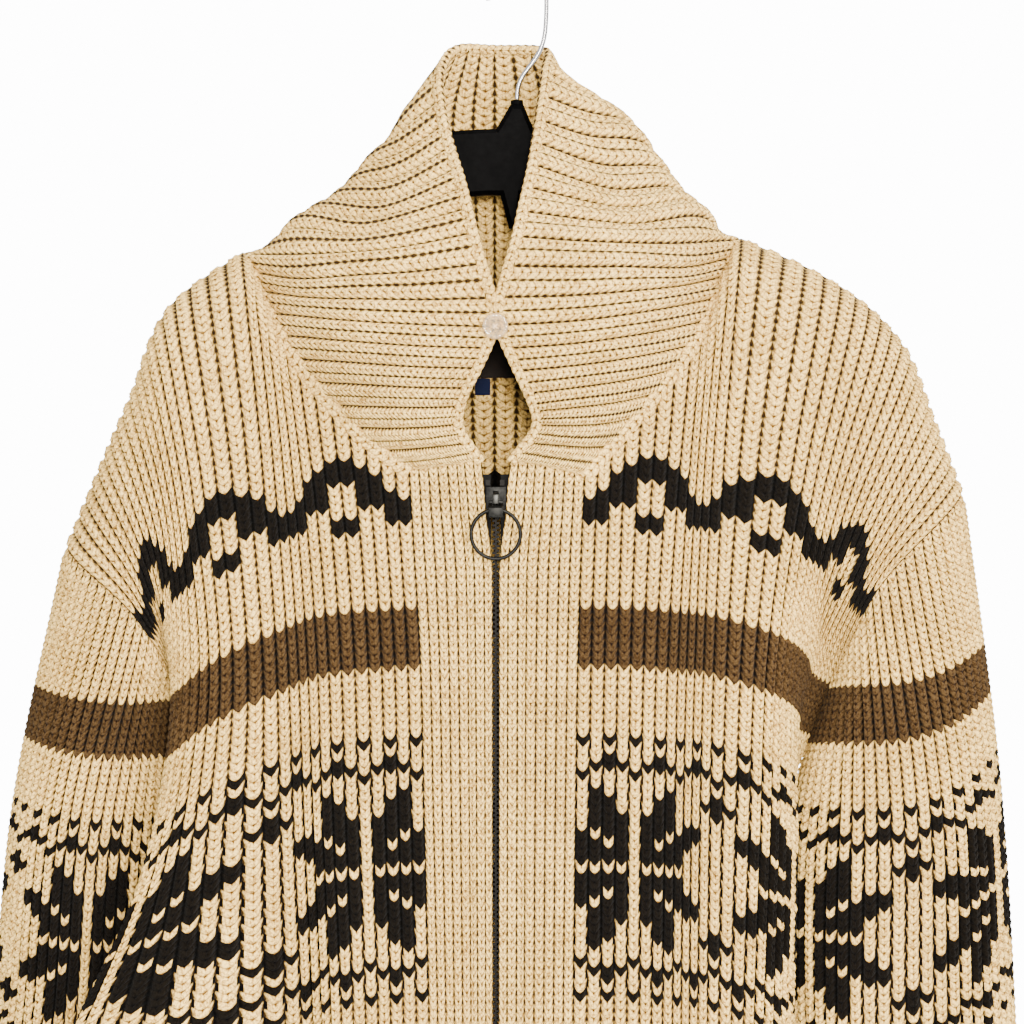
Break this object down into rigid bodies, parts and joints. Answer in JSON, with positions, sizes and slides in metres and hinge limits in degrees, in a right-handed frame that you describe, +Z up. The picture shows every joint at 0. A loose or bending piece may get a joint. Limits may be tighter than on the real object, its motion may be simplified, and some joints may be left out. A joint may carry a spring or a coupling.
{
  "type": "cowichan cardigan on a hanger",
  "caption": "Chunky ribbed wool cardigan with a tall folded collar, front zip with ring pull and collar button, hung open-cuffed on a plain moulded hanger with a wire hook.",
  "frame": {"origin": "the inner top of the hanger's hook, where the rod bears", "axes": "+X to the viewer's right across the front, +Y from the front to the back, +Z up along the hanging garment"},
  "size_m": [0.6232, 0.1451, 0.8958],
  "materials": {
    "knit_wool": "chunky ribbed wool knit",
    "zip_tape": "woven tape",
    "zip_metal": "dark plated",
    "button_plastic": "clear polished",
    "label_cloth": "woven",
    "tab_cloth": "woven",
    "hanger_plastic": "smooth black",
    "hook_steel": "bright wire"
  },
  "bodies": {
    "garment": {"front_left": "knit_wool", "front_right": "knit_wool", "back": "knit_wool", "sleeve_left": "knit_wool", "sleeve_right": "knit_wool", "collar": "knit_wool", "band_left": "knit_wool", "band_right": "knit_wool", "zip_chain": "zip_metal", "zip_tape_left": "zip_tape", "zip_tape_right": "zip_tape", "zip_slider": "zip_metal", "button": "button_plastic", "neck_label": "label_cloth", "label_tab": "tab_cloth", "hanger": "hanger_plastic", "hook_ferrule": "hanger_plastic", "hook": "hook_steel"},
    "link": {"pull_link": "zip_metal"},
    "ring": {"pull_ring": "zip_metal"}
  },
  "joints": [
    {"name": "pull_swing", "type": "hinge", "parent": "garment", "child": "link", "pos_m": [-0.012, -0.0482, -0.3083], "axis": [-1, 0, 0], "range_deg": [0, 90]},
    {"name": "ring_swing", "type": "hinge", "parent": "link", "child": "ring", "pos_m": [-0.012, -0.0521, -0.31319], "axis": [-1, 0, 0], "range_deg": [0, 85]}
  ]
}
